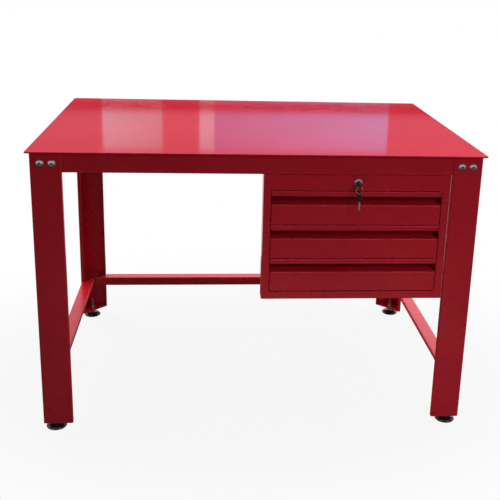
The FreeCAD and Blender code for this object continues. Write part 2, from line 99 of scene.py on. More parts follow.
class WorkbenchFinish(bpy.types.PropertyGroup):
    """Colours and gloss of the finishes"""
    paint: colour_property("Paint", "Colour of the powder coat", (0.58, 0.01, 0.026))
    paint_shade: colour_property(
        "Paint shade", "Deeper red where the coat is thicker", (0.5, 0.007, 0.02))
    # The paler edge colour stands partly for coat rubbed thin and partly for a painted highlight along
    # edges; the worktop's scuffs use it too.
    paint_edge_rub_and_highlight: colour_property(
        "Paint at edges", "Paler red where the coat is rubbed thin along edges", (0.7, 0.075, 0.085))
    paint_roughness: bpy.props.FloatProperty(
        name="Paint roughness", description="Roughness of the legs and the drawer unit",
        subtype="FACTOR", min=0, max=1, default=0.27)
    top_roughness: bpy.props.FloatProperty(
        name="Worktop roughness", description="Roughness of the glossier worktop", subtype="FACTOR",
        min=0, max=1, default=0.08)
    zinc: colour_property(
        "Zinc", "Colour of the plated bolts, nuts, slides and studs", (0.58, 0.58, 0.6))
    chrome: colour_property("Chrome", "Colour of the lock, the keys and the ring", (0.68, 0.67, 0.67))
    plastic: colour_property(
        "Plastic", "Colour of the moulded key bows and feet", (0.012, 0.012, 0.013))


class WorkbenchSizes(bpy.types.PropertyGroup):
    """Sizes of the pieces that can't be read from the frame"""
    plate_corner: length_property("Plate corner", "Radius of the worktop's corners", 4.0)
    plate_edge: length_property("Plate edge", "Rounding of the worktop's edges", 1.0)
    front_sheet: length_property("Front sheet", "Sheet thickness of the drawer fronts", 1.2)
    front_bend: length_property("Front bend", "How far a fold of the drawer front is rounded", 1.6)
    panel_height: length_property("Panel height", "Height of a drawer's flat panel", 54.0)
    pull_depth: length_property("Pull depth", "Depth of the finger pull", 40.0)
    pull_rise: length_property("Pull rise", "How far the floor of the finger pull climbs", 14.0)
    lip_height: length_property("Lip height", "Height of the lip over the finger pull", 14.0)
    edge_round: length_property("Edge rounding", "Rounding of the coated sheet's cut edges", 0.5)
    frame_round: length_property("Frame rounding", "Rounding of the face frame's folds", 1.2)
    plated_round: length_property(
        "Plated edge rounding", "Rounding of the cut edges of slides and hanger bolts", 0.2)
    front_edge: length_property("Front edge rounding", "Rounding of the drawer fronts' cut edges", 0.25)
    head_radius: length_property("Bolt head radius", "Radius of a button head", 10.5)
    head_height: length_property("Bolt head height", "Height of a button head", 6.6)
    bolt_radius: length_property("Bolt radius", "Radius of a leg bolt's shank", 6.0)
    bolt_length: length_property("Bolt length", "Length of a leg bolt under its head", 20.0)
    bolt_spacing: length_property("Bolt spacing", "Distance between the two bolts of a leg", 30.0)
    socket_flats: length_property("Socket flats", "Hexagon socket across its flats", 8.0)
    socket_depth: length_property("Socket depth", "Depth of the hexagon socket", 4.0)
    head_rim: length_property("Bolt head rim", "Height of the straight rim below the dome", 0.5)
    bolt_chamfer: length_property("Bolt chamfer", "Chamfer at the end of a leg bolt", 1.0)
    bolt_edge: length_property("Bolt edge rounding", "Rounding of a leg bolt's edges", 0.25)
    thread_pitch: length_property("Thread pitch", "Pitch of the threaded studs", 1.75)
    thread_depth: length_property("Thread depth", "Depth of the studs' thread", 0.75)
    thread_crest: length_property("Thread crest", "Half the flat on the crest of the thread", 0.12)
    stud_radius: length_property("Stud radius", "Radius over a stud's thread", 5.7)
    nut_bore: length_property("Nut bore", "Radius of the bore of the feet's nuts", 6.0)
    neck_radius: length_property("Foot neck", "Radius of the foot's neck at its socket", 10.0)
    rim_height: length_property("Foot rim", "Height of the foot's outer rim", 5.0)
    stud_chamfer: length_property("Stud chamfer", "Chamfer at both ends of a stud", 0.8)
    collar_flats: length_property("Collar flats", "Hexagon collar of a stud across its flats", 14.0)
    collar_fall: length_property("Collar chamfer", "Height of the chamfer of the hexagon collar", 0.7)
    collar_base_gap: length_property("Collar over foot", "Gap between the foot and the collar", 1.0)
    collar_nut_gap: length_property("Collar under nut", "Gap between the collar and the jam nut", 0.3)
    foot_nut_flats: length_property("Foot nut flats", "Jam and weld nuts across their flats", 18.0)
    foot_edge: length_property("Foot edge", "Rounding of the foot's rim", 1.2)
    bezel_round: length_property("Bezel rounding", "Rounding of the lock bezel's rim", 1.5)
    bezel_overhang: length_property(
        "Bezel overhang", "How far the bezel stands past the lock's body", 1.5)
    bezel_groove: length_property("Bezel groove", "Size of the bezel's groove and chamfers", 0.5)
    lock_clearance: length_property(
        "Lock clearance", "Radial clearance of the lock's plug and nut", 0.05)
    blade_tip: length_property("Blade tip", "Length of a key blade's taper", 3.0)
    cut_start: length_property("First cut", "Distance of the first cut from the shoulder", 6.5)
    cut_pitch: length_property("Cut pitch", "Distance between the cuts of a key blade", 3.4)
    cut_depths: bpy.props.FloatVectorProperty(
        name="Cut depths", description="Depths of the cuts of a key blade", unit="LENGTH", size=5,
        default=(1.3 * MM, 2.0 * MM, 0.9 * MM, 1.7 * MM, 1.1 * MM))
    cut_flat: length_property("Cut flat", "Half the flat at the bottom of a cut", 0.3)
    blade_edge: length_property("Blade edge rounding", "Rounding of a key blade's edges", 0.12)
    bow_corner: length_property("Bow corner", "Corner radius of a key bow", 6.0)
    bow_border: length_property("Bow border", "Width of the rim round a bow's sunk panel", 1.6)
    bow_sink: length_property("Bow panel depth", "Depth of a bow's sunk panel", 0.35)
    bow_edge: length_property("Bow edge rounding", "Rounding of a bow's edges and panel", 0.3)
    slot_place: length_property("Slot place", "Distance of the slot's middle from the bow's end", 6.5)
    slot_length: length_property("Slot length", "Length of the slot for the ring", 12.0)
    slot_width: length_property("Slot width", "Width of the slot for the ring", 6.0)
    spare_turn: bpy.props.FloatProperty(
        name="Spare key turn", description="How far the hanging spare key is turned", subtype="ANGLE",
        default=math.radians(30))
    ring_coil: length_property("Ring coil", "Height of one coil of the split ring", 0.76)


class WorkbenchView(bpy.types.PropertyGroup):
    """Camera, lamps and screens of the stage"""
    place: bpy.props.FloatVectorProperty(
        name="Camera place", description="Where the camera stands", subtype="TRANSLATION",
        unit="LENGTH", size=3, default=(-0.14347, -2.49412, 1.27708))
    yaw: bpy.props.FloatProperty(
        name="Yaw", description="Turn to the right of straight ahead", subtype="ANGLE", default=0.0947)
    pitch: bpy.props.FloatProperty(
        name="Pitch", description="Tilt below level", subtype="ANGLE", default=0.2878)
    roll: bpy.props.FloatProperty(
        name="Roll", description="Turn about the line of sight", subtype="ANGLE", default=0.0318)
    focal: bpy.props.FloatProperty(
        name="Focal length", description="Focal length in widths of the picture", default=1.6599)
    shift: bpy.props.FloatVectorProperty(
        name="Shift", description="Shift of the picture against the line of sight", size=2,
        default=(-0.06278, -0.08526))
    overhead: power_property("Overhead light", "Power of the soft light above the bench", 112.0)
    rear_left: power_property("Rear left light", "Power of the soft light behind the left end", 60.0)
    rear_right: power_property("Rear right light", "Power of the soft light behind the right end", 40.0)
    left: power_property("Left light", "Power of the soft light at the left end", 30.0)
    right: power_property("Right light", "Power of the soft light at the right end", 48.0)
    front: power_property("Front light", "Power of the soft light at the front right", 21.0)
    low: power_property("Low light", "Power of the soft light near the floor in front", 1.1)
    fill: bpy.props.FloatProperty(
        name="Fill", description="Strength of the even light from all round", default=0.02, min=0)
    rose_screen: colour_property(
        "Rose screen", "Tint of the backdrop that the worktop mirrors", (0.42, 0.2, 0.25))
    pale_screen: colour_property(
        "Pale screen", "Tint of the pale strips that the worktop mirrors", (0.54, 0.7, 0.8))
    lilac_screen: colour_property(
        "Lilac screen", "Tint of the broad panel that the worktop mirrors", (0.2, 0.58, 1.0))
    low_screen: colour_property(
        "Low screen", "Tint of the bright panel that the stretchers mirror", (2.0, 1.5, 1.6), most=4.0)


class Wire:
    """A shader socket that takes part in plain arithmetic."""

    def __init__(self, kit, socket):
        self.kit = kit
        self.socket = socket

    def maths(self, operation, first, second):
        return self.kit.node("ShaderNodeMath", {"operation": operation}, {0: first, 1: second})

    def __add__(self, other):
        return self.maths("ADD", self, other)

    __radd__ = __add__

    def __sub__(self, other):
        return self.maths("SUBTRACT", self, other)

    def __rsub__(self, other):
        return self.maths("SUBTRACT", other, self)

    def __mul__(self, other):
        return self.maths("MULTIPLY", self, other)

    __rmul__ = __mul__

    def between(self, low, high):
        """0 below low, 1 above high, and a smooth step between them."""
        limits = {"Value": self, "From Min": low, "From Max": high, "To Min": 0.0, "To Max": 1.0}
        return self.kit.node("ShaderNodeMapRange", {"interpolation_type": "SMOOTHSTEP"}, limits)


class Kit:
    """The node tree of one finish."""

    def __init__(self, tree):
        self.tree = tree
        tree.nodes.clear()

    def node(self, kind, settings=None, sockets=None, output=0):
        """Adds any node: its settings first, then its sockets' values or links; gives one output."""
        made = self.tree.nodes.new(kind)
        for key, value in (settings or {}).items():
            setattr(made, key, value)
        for key, value in (sockets or {}).items():
            if isinstance(value, Wire):
                self.tree.links.new(value.socket, made.inputs[key])
            else:
                made.inputs[key].default_value = value
        return Wire(self, made.outputs[output]) if made.outputs else made

    def place(self):
        return self.node("ShaderNodeTexCoord", output="Object")

    def noise(self, scale, detail=2.0, stretch=None):
        """Noise on the object's own place, with its size given as waves in a metre."""
        spot = self.place()
        if stretch:
            spot = self.node("ShaderNodeMapping", None, {"Vector": spot, "Scale": stretch})
        return self.node("ShaderNodeTexNoise", None, {"Vector": spot, "Scale": scale, "Detail": detail})

    def blend(self, share, first, second):
        return self.node("ShaderNodeMix", {"data_type": "RGBA"}, {0: share, 6: first, 7: second}, 2)

    def edges(self, radius):
        """1 along sharp edges and 0 on flat faces."""
        rounded = self.node("ShaderNodeBevel", {"samples": 6}, {"Radius": radius})
        flat = self.node("ShaderNodeNewGeometry", None, None, "Normal")
        agree = self.node("ShaderNodeVectorMath", {"operation": "DOT_PRODUCT"},
                          {0: rounded, 1: flat}, "Value")
        return (1.0 - agree).between(0.01, 0.25)

    def bump(self, height, strength, distance):
        return self.node("ShaderNodeBump", None,
                         {"Height": height, "Strength": strength, "Distance": distance})

    def surface(self, sockets):
        shader = self.node("ShaderNodeBsdfPrincipled", None, sockets)
        self.node("ShaderNodeOutputMaterial", None, {"Surface": shader})


def finish_kit(name):
    """A new material and its kit, or the one made before."""
    made = bpy.data.materials.get(name)
    if made:
        return made, None
    made = bpy.data.materials.new(name)
    made.use_nodes = True
    return made, Kit(made.node_tree)


def colour(value, shares=(1.0, 1.0, 1.0)):
    """A shader's colour, with each part scaled by its share."""
    return tuple(part * share for part, share in zip(value, shares)) + (1.0,)


def powder_coat(name="red_powder_coat", gloss=None, scuffed=0.0):
    """Red powder coat: orange peel, slow colour drift, rubbed edges that also carry a painted highlight
    and, on the worktop, fine scuffs.
    """
    made, kit = finish_kit(name)
    if kit is None:
        return made
    finish = bpy.context.scene.workbench_finish
    roughness = finish.paint_roughness if gloss is None else gloss
    drift = kit.noise(4.0, detail=3.0).between(0.3, 0.7)
    grain = kit.noise(1500.0, detail=1.0)
    red = kit.blend(drift * 0.6 + grain * 0.15, colour(finish.paint_shade), colour(finish.paint))
    # Paler along sharp edges, broken up by noise: partly coat rubbed thin, partly a painted highlight on
    # the edges.
    rub_and_highlight = kit.edges(1.0 * MM) * kit.noise(130.0, detail=3.0).between(0.35, 0.65)
    red = kit.blend(rub_and_highlight * 0.45, red, colour(finish.paint_edge_rub_and_highlight))
    rough = roughness + kit.noise(26.0, detail=4.0) * 0.07 - 0.035 + rub_and_highlight * 0.08
    peel = kit.noise(420.0, detail=1.0)
    if scuffed:
        lines = kit.noise(1.0, detail=2.0, stretch=(22.0, 640.0, 1.0)).between(0.66, 0.78)
        lines = lines + kit.noise(1.0, detail=2.0, stretch=(520.0, 30.0, 1.0)).between(0.69, 0.80)
        patch = kit.noise(7.0, detail=4.0).between(0.45, 0.75)
        rough = rough + (lines * 0.5 + 0.5) * patch * scuffed
        red = kit.blend(lines * patch * scuffed, red, colour(finish.paint_edge_rub_and_highlight))
    kit.surface({"Base Color": red, "Roughness": rough, "IOR": 1.5,
                 "Normal": kit.bump(peel, strength=0.03, distance=0.12 * MM)})
    return made


def worktop_coat():
    """The same powder coat on the plate, glossier and scuffed by use."""
    gloss = bpy.context.scene.workbench_finish.top_roughness
    return powder_coat("worktop_powder_coat", gloss, scuffed=0.05)


def zinc_plate():
    """Bright zinc plating with a fine drawn grain and cloudy tarnish."""
    made, kit = finish_kit("zinc_plating")
    if kit is None:
        return made
    zinc = bpy.context.scene.workbench_finish.zinc
    cloud = kit.noise(60.0, detail=4.0)
    grain = kit.noise(900.0, detail=2.0)
    dull = colour(zinc, (0.72, 0.71, 0.68))
    kit.surface({"Base Color": kit.blend(cloud.between(0.3, 0.75), dull, colour(zinc)), "Metallic": 1.0,
                 "Roughness": 0.34 + cloud * 0.14 + grain * 0.08,
                 "Normal": kit.bump(grain, strength=0.06, distance=0.1 * MM)})
    return made


def satin_chrome():
    """Satin chrome with turned marks and small scratches."""
    made, kit = finish_kit("satin_chrome")
    if kit is None:
        return made
    chrome = bpy.context.scene.workbench_finish.chrome
    marks = kit.noise(1.0, detail=2.0, stretch=(2600.0, 240.0, 2600.0))
    wear = kit.noise(420.0, detail=3.0)
    dull = colour(chrome, (0.8, 0.79, 0.77))
    kit.surface({"Base Color": kit.blend(wear.between(0.35, 0.7), dull, colour(chrome)), "Metallic": 1.0,
                 "Roughness": 0.16 + marks * 0.12 + wear * 0.08,
                 "Normal": kit.bump(marks, strength=0.05, distance=0.05 * MM)})
    return made


def moulded_plastic():
    """Black moulded plastic with a fine spark grain, polished by fingers in places."""
    made, kit = finish_kit("moulded_plastic")
    if kit is None:
        return made
    plastic = bpy.context.scene.workbench_finish.plastic
    grain = kit.noise(3200.0, detail=2.0)
    touch = kit.noise(150.0, detail=2.0)
    worn = colour(plastic, (2.2, 2.2, 2.2))
    kit.surface({"Base Color": kit.blend(touch.between(0.4, 0.8), colour(plastic), worn),
                 "Roughness": 0.30 + touch * 0.16,
                 "Normal": kit.bump(grain, strength=0.12, distance=0.1 * MM)})
    return made


def foot_plastic():
    """Harder, shinier black plastic, scuffed near the floor."""
    made, kit = finish_kit("foot_plastic")
    if kit is None:
        return made
    plastic = bpy.context.scene.workbench_finish.plastic
    scuff = kit.noise(240.0, detail=4.0).between(0.5, 0.75)
    height = kit.node("ShaderNodeSeparateXYZ", None, {"Vector": kit.place()}, "Z")
    low = 1.0 - height.between(0.0, 4.0 * MM)
    dusty = colour((0.10, 0.095, 0.09))
    kit.surface({"Base Color": kit.blend(scuff * low * 0.5, colour(plastic), dusty),
                 "Roughness": 0.16 + scuff * 0.2 + low * 0.15,
                 "Normal": kit.bump(kit.noise(1800.0, detail=2.0), strength=0.05, distance=0.1 * MM)})
    return made


def only(piece):
    """Object mode, with this piece alone selected."""
    if bpy.context.object and bpy.context.object.mode != "OBJECT":
        bpy.ops.object.mode_set(mode="OBJECT")
    bpy.ops.object.select_all(action="DESELECT")
    if piece:
        piece.select_set(True)
        bpy.context.view_layer.objects.active = piece


def added(operator, **size):
    """A new primitive, with nothing else selected."""
    only(None)
    operator(**size)
    return bpy.context.object


def settled(piece):
    """Puts a piece's place into its mesh."""
    only(piece)
    bpy.ops.object.transform_apply(location=True, rotation=True, scale=True)
    return piece


def block(low, high):
    """A box between two corners, as a start for a piece."""
    low, high = Vector(low), Vector(high)
    piece = added(bpy.ops.mesh.primitive_cube_add, size=1.0, location=(low + high) / 2)
    piece.scale = high - low
    return settled(piece)


def pick(piece, kind, test):
    """Edit mode, with only the verts, edges or faces selected whose place and direction pass the test."""
    only(piece)
    bpy.ops.object.mode_set(mode="EDIT")
    bpy.ops.mesh.select_mode(type=kind)
    bpy.ops.mesh.select_all(action="DESELECT")
    bpy.ops.object.mode_set(mode="OBJECT")
    mesh = piece.data
    if kind == "VERT":
        items = [(v, v.co, v.normal) for v in mesh.vertices]
    elif kind == "EDGE":
        items = []
        for edge in mesh.edges:
            start, end = (mesh.vertices[index].co for index in edge.vertices)
            items.append((edge, (start + end) / 2, (end - start).normalized()))
    else:
        items = [(f, f.center, f.normal) for f in mesh.polygons]
    found = 0
    for item, place, way in items:
        item.select = bool(test(place, way))
        found += item.select
    if not found:
        raise RuntimeError("nothing to shape on " + piece.name)
    bpy.ops.object.mode_set(mode="EDIT")


def everything(piece):
    """Edit mode, with the whole piece selected."""
    only(piece)
    bpy.ops.object.mode_set(mode="EDIT")
    bpy.ops.mesh.select_mode(type="VERT")
    bpy.ops.mesh.select_all(action="SELECT")


def tidied(piece):
    """Merges doubles, turns the faces outwards and goes back to object mode."""
    everything(piece)
    bpy.ops.mesh.remove_doubles(threshold=WELD)
    bpy.ops.mesh.normals_make_consistent(inside=False)
    only(piece)
    return piece


def modified(piece, kind, **settings):
    """Adds a modifier and applies it."""
    only(piece)
    bpy.ops.object.modifier_add(type=kind)
    modifier = piece.modifiers[-1]
    for key, value in settings.items():
        setattr(modifier, key, value)
    bpy.ops.object.modifier_apply(modifier=modifier.name)
    return piece


def cleaned(piece):
    """Merges points that lie together and takes out faces and edges without size."""
    everything(piece)
    bpy.ops.mesh.remove_doubles(threshold=SLIVER)
    bpy.ops.mesh.dissolve_degenerate(threshold=SLIVER)
    only(piece)
    return piece


def carved(piece, cutter, operation="DIFFERENCE"):
    """Cuts one piece with another, which is used up."""
    modified(piece, "BOOLEAN", operation=operation, object=cutter, solver="EXACT")
    bpy.data.objects.remove(cutter)
    return cleaned(piece)


def drawn(points):
    """A line through points, drawn by extruding one vertex."""
    piece = added(bpy.ops.mesh.primitive_plane_add, size=1.0)
    pick(piece, "VERT", lambda place, way: place.x > 0 or place.y > 0)
    bpy.ops.mesh.delete(type="VERT")
    everything(piece)
    corner = Vector((-0.5, -0.5, 0.0))
    bpy.ops.transform.translate(value=Vector(points[0]) - corner)
    for start, end in zip(points, points[1:]):
        bpy.ops.mesh.extrude_vertices_move(TRANSFORM_OT_translate={"value": Vector(end) - Vector(start)})
    only(piece)
    return piece


def turned(points, centre, axis, steps=48):
    """A turned piece: a profile of (radius, height) points spun about an axis through centre."""
    axis = Vector(axis)
    across = Vector((1, 0, 0))
    centre = Vector(centre)
    piece = drawn([centre + across * radius + axis * height for radius, height in points])
    everything(piece)
    bpy.ops.mesh.spin(steps=steps, angle=2 * math.pi, center=centre, axis=axis)
    return tidied(piece)


def outlined(points, along):
    """A closed outline filled with a face and extruded."""
    piece = drawn(points)
    everything(piece)
    bpy.ops.mesh.edge_face_add()
    bpy.ops.mesh.extrude_region_move(TRANSFORM_OT_translate={"value": along})
    return tidied(piece)


def wound(section, axis, rise, turns, steps):
    """A closed section swept along a helix, with both ends filled."""
    piece = drawn(section)
    everything(piece)
    bpy.ops.mesh.edge_face_add()
    bpy.ops.mesh.delete(type="ONLY_FACE")
    modified(piece, "SCREW", axis=axis, angle=2 * math.pi, screw_offset=rise, iterations=turns,
             steps=steps, render_steps=steps, use_merge_vertices=False)
    everything(piece)
    bpy.ops.mesh.fill_holes(sides=len(section))
    return tidied(piece)


def polished(piece, angle=35.0):
    """Smooth shading that keeps flat faces flat and folds crisp."""
    cleaned(piece)
    bpy.ops.object.shade_smooth_by_angle(angle=math.radians(angle))
    return modified(piece, "WEIGHTED_NORMAL", keep_sharp=True, weight=80)


def softened(piece, width, segments=2, angle=40.0):
    """Rounds every sharp edge a little."""
    return modified(piece, "BEVEL", width=width, segments=segments, limit_method="ANGLE",
                    angle_limit=math.radians(angle), use_clamp_overlap=True)


def copied(piece, place):
    """A copy with its own mesh, moved by a matrix."""
    only(piece)
    bpy.ops.object.duplicate(linked=False)
    copy = bpy.context.object
    copy.matrix_world = place
    return settled(copy)


def joined(pieces):
    """Several meshes as one piece."""
    only(pieces[0])
    for piece in pieces:
        piece.select_set(True)
    bpy.ops.object.join()
    return bpy.context.object


def eased(node, width):
    """A copy of a CAD node with its flat faces joined and its cut edges rounded."""
    only(nodes[node])
    bpy.ops.object.duplicate(linked=False)
    piece = bpy.context.object
    del piece["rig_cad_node"]
    bpy.ops.object.parent_clear(type="CLEAR_KEEP_TRANSFORM")
    everything(piece)
    bpy.ops.mesh.remove_doubles(threshold=WELD)
    bpy.ops.mesh.dissolve_limited(angle_limit=math.radians(0.5))
    softened(piece, width, angle=50.0)
    return polished(piece, angle=40.0)


def hexagonal(flats, low, high):
    """A six-sided bar along Z, measured across its flats."""
    return settled(added(bpy.ops.mesh.primitive_cylinder_add, vertices=6, radius=flats / math.sqrt(3.0),
                         depth=high - low, location=(0, 0, (low + high) / 2)))


def chamfered(flats, low, high, fall):
    """A six-sided bar along Z whose corners are turned down to a chamfer at both ends."""
    corner, face = flats / math.sqrt(3.0), flats * NUT_FACE
    slope = (corner - face) / fall
    over, reach = 0.5 * MM, corner * 1.06
    rise, neck = (reach - face) / slope, face - slope * over
    turning = [(0, low - over), (neck, low - over), (reach, low + rise),
               (reach, high - rise), (neck, high + over), (0, high + over)]
    return carved(hexagonal(flats, low, high), turned(turning, ORIGIN, UP), "INTERSECT")


def hexagon_nut(flats, bore, height):
    """A nut along Z with both faces turned to a chamfer and a countersunk bore."""
    nut = chamfered(flats, 0, height, flats * NUT_FALL)
    lead = over = 0.5 * MM
    mouth = bore + lead + over
    drill = [(0, -over), (mouth, -over), (bore, lead), (bore, height - lead),
             (mouth, height + over), (0, height + over)]
    carved(nut, turned(drill, ORIGIN, UP))
    return polished(nut, angle=30.0)


def placed(piece, places):
    """Copies of a piece at each place, joined, in the piece's stead."""
    copies = [copied(piece, place) for place in places]
    bpy.data.objects.remove(piece)
    return joined(copies)


def dressed(piece, name, body, slot, material, *replaced):
    """Names a finished piece, gives it its finish and puts it on the body that carries it."""
    only(piece)
    piece.name = name
    piece.data.name = name
    piece.data.materials.clear()
    piece.data.materials.append(material)
    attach(piece, body)
    if replaced:
        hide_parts(*replaced)
    return piece


def painted(material, name):
    """Gives a CAD node a finish."""
    mesh = nodes[name].data
    mesh.materials.clear()
    mesh.materials.append(material)


class WORKBENCH_OT_sheet_metal(bpy.types.Operator):
    """Powder coats the folded sheet, plates the slides and hangers, and rounds their cut edges"""
    bl_idname = "workbench.sheet_metal"
    bl_label = "Sheet Metal"

    def execute(self, context):
        sizes = context.scene.workbench_sizes
        finishes = {"red_paint": powder_coat(), "plated_steel": zinc_plate(),
                    "lock_metal": satin_chrome(), "black_plastic": moulded_plastic()}
        bodies = frame["record"]["behaviour"]["bodies"]
        for part in frame["record"]["subparts"]:
            name, slot = part["node"], part["material_slot"]
            painted(finishes[slot], name)
            sheet = slot == "red_paint" and name != "worktop" and not name.endswith("_front")
            if sheet:
                width = sizes.frame_round if name == "front_frame" else sizes.edge_round
            elif "slide" in name or name.startswith("hanger"):
                width = sizes.plated_round
            else:
                continue
            body = next(body for body, members in bodies.items() if name in members)
            look = name + ("_coated" if sheet else "_plated")
            dressed(eased(name, width), look, body, slot, finishes[slot], name)
        return {"FINISHED"}


class WORKBENCH_OT_worktop(bpy.types.Operator):
    """Makes the worktop plate with rounded corners and edges"""
    bl_idname = "workbench.worktop"
    bl_label = "Worktop"

    def execute(self, context):
        sizes = context.scene.workbench_sizes
        low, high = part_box("worktop")
        plate = block(low, high)
        pick(plate, "EDGE", lambda place, way: abs(way.z) > PARALLEL)
        bpy.ops.mesh.bevel(offset=sizes.plate_corner, segments=8, affect="EDGES")
        pick(plate, "FACE", lambda place, way: abs(way.z) > PARALLEL)
        bpy.ops.mesh.region_to_loop()
        bpy.ops.mesh.bevel(offset=sizes.plate_edge, segments=4, affect="EDGES")
        dressed(polished(plate), "worktop_plate", "bench", "red_paint", worktop_coat(), "worktop")
        return {"FINISHED"}


class WORKBENCH_OT_drawer_fronts(bpy.types.Operator):
    """Folds one drawer front from sheet, with its finger pull and lip, and copies it to each drawer"""
    bl_idname = "workbench.drawer_fronts"
    bl_label = "Drawer Fronts"

    def execute(self, context):
        sizes = context.scene.workbench_sizes
        sheet = sizes.front_sheet
        low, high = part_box("drawer_1_front")
        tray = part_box("drawer_1_tray")
        top = high.z - low.z
        pull_back = sizes.pull_depth + sheet
        slack = 0.1 * MM
        fold = [
            (high.y - low.y, 0.0),
            (pull_back, 0.0),
            (0.0, 0.0),
            (0.0, sizes.panel_height),
            (sizes.pull_depth, sizes.panel_height + sizes.pull_rise),
            (sizes.pull_depth, top - sheet),
            (sheet, top - sheet),
            (sheet, top - sizes.lip_height),
        ]
        front = drawn([(low.x, low.y + back, low.z + up) for back, up in fold])
        everything(front)
        bpy.ops.mesh.extrude_edges_move(TRANSFORM_OT_translate={"value": (high.x - low.x, 0, 0)})
        only(front)
        panel = min(front.data.polygons, key=lambda face: face.center.y)
        if panel.normal.y > 0:
            everything(front)
            bpy.ops.mesh.flip_normals()
            only(front)

        def behind(place, way):
            return place.y > low.y + pull_back + slack and place.z < low.z + sheet

        for side in (tray[0].x, tray[1].x):
            pick(front, "FACE", behind)
            bpy.ops.mesh.bisect(plane_co=(side, 0, 0), plane_no=(1, 0, 0))
        pick(front, "FACE", lambda place, way: behind(place, way) and not tray[0].x < place.x < tray[1].x)
        bpy.ops.mesh.delete(type="FACE")
        flat = [fold[0], fold[1], fold[-1]]
        bends = [(low.y + back, low.z + up) for back, up in fold if (back, up) not in flat]
        pick(front, "EDGE", lambda place, way: abs(way.x) > PARALLEL and any(
            abs(place.y - y) + abs(place.z - z) < slack for y, z in bends))
        bpy.ops.mesh.bevel(offset=sizes.front_bend, segments=4, affect="EDGES")
        modified(front, "SOLIDIFY", thickness=sheet, offset=-1.0, use_even_offset=True)
        softened(front, sizes.front_edge, angle=60.0)
        polished(front, angle=40.0)
        pitch = low.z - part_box("drawer_2_front")[0].z
        fronts = [front] + [copied(front, Matrix.Translation((0, 0, -pitch * step))) for step in (1, 2)]
        for index, piece in enumerate(fronts):
            drawer = "drawer_%d" % (index + 1)
            dressed(piece, drawer + "_folded_front", drawer, "red_paint", powder_coat(),
                    drawer + "_front")
        return {"FINISHED"}


class WORKBENCH_OT_leg_bolts(bpy.types.Operator):
    """Turns one button-head bolt with a hexagon socket, and its nut, and sets them in every leg"""
    bl_idname = "workbench.leg_bolts"
    bl_label = "Leg Bolts"

    def execute(self, context):
        sizes = context.scene.workbench_sizes
        radius, height, shank = sizes.head_radius, sizes.head_height, sizes.bolt_radius
        ball = (radius ** 2 + height ** 2) / (2 * height)
        rim, chamfer = sizes.head_rim, sizes.bolt_chamfer
        profile = [(0, height)]
        steps = 8
        for step in range(1, steps + 1):
            across = (radius - rim) * step / steps
            profile.append((across, height - ball + math.sqrt(ball ** 2 - across ** 2)))
        tail = -sizes.bolt_length
        profile += [(radius, rim), (radius - rim / 2, 0), (shank, 0), (shank, tail + chamfer),
                    (shank - chamfer, tail), (0, tail)]
        bolt = turned(profile, ORIGIN, UP)
        socket = hexagonal(sizes.socket_flats, height - sizes.socket_depth, height + sizes.socket_depth)
        carved(bolt, socket)
        softened(bolt, sizes.bolt_edge, angle=45.0)
        polished(bolt, angle=40.0)
        low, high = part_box("leg_bolts")
        outer = high.x - radius
        middle = (low.z + high.z) / 2
        columns = (-outer, sizes.bolt_spacing - outer, outer - sizes.bolt_spacing, outer)
        first_turn, each_turn, end_turn = 13, 37, 20
        places = []
        for end, y in ((-1, low.y + height), (1, high.y - height)):
            tilt = Matrix.Rotation(math.radians(-90 * end), 4, "X")
            for index, x in enumerate(columns):
                degrees = first_turn + each_turn * index + end_turn * end
                turn = Matrix.Rotation(math.radians(degrees), 4, "Z")
                places.append(Matrix.Translation((x, y, middle)) @ tilt @ turn)
        dressed(placed(bolt, places), "button_head_bolts", "bench", "plated_steel", zinc_plate(),
                "leg_bolts")

        low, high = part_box("leg_nuts")
        flats = (high.z - low.z) * math.sqrt(3.0) / 2
        depth = sizes.bolt_length / 2
        nut = hexagon_nut(flats, shank, depth)
        places = []
        for end, y in ((-1, low.y), (1, high.y)):
            tilt = Matrix.Rotation(math.radians(90 * end), 4, "X")
            for x in columns:
                places.append(Matrix.Translation((x, y, middle)) @ tilt)
        dressed(placed(nut, places), "bolt_nuts", "bench", "plated_steel", zinc_plate(), "leg_nuts")
        return {"FINISHED"}


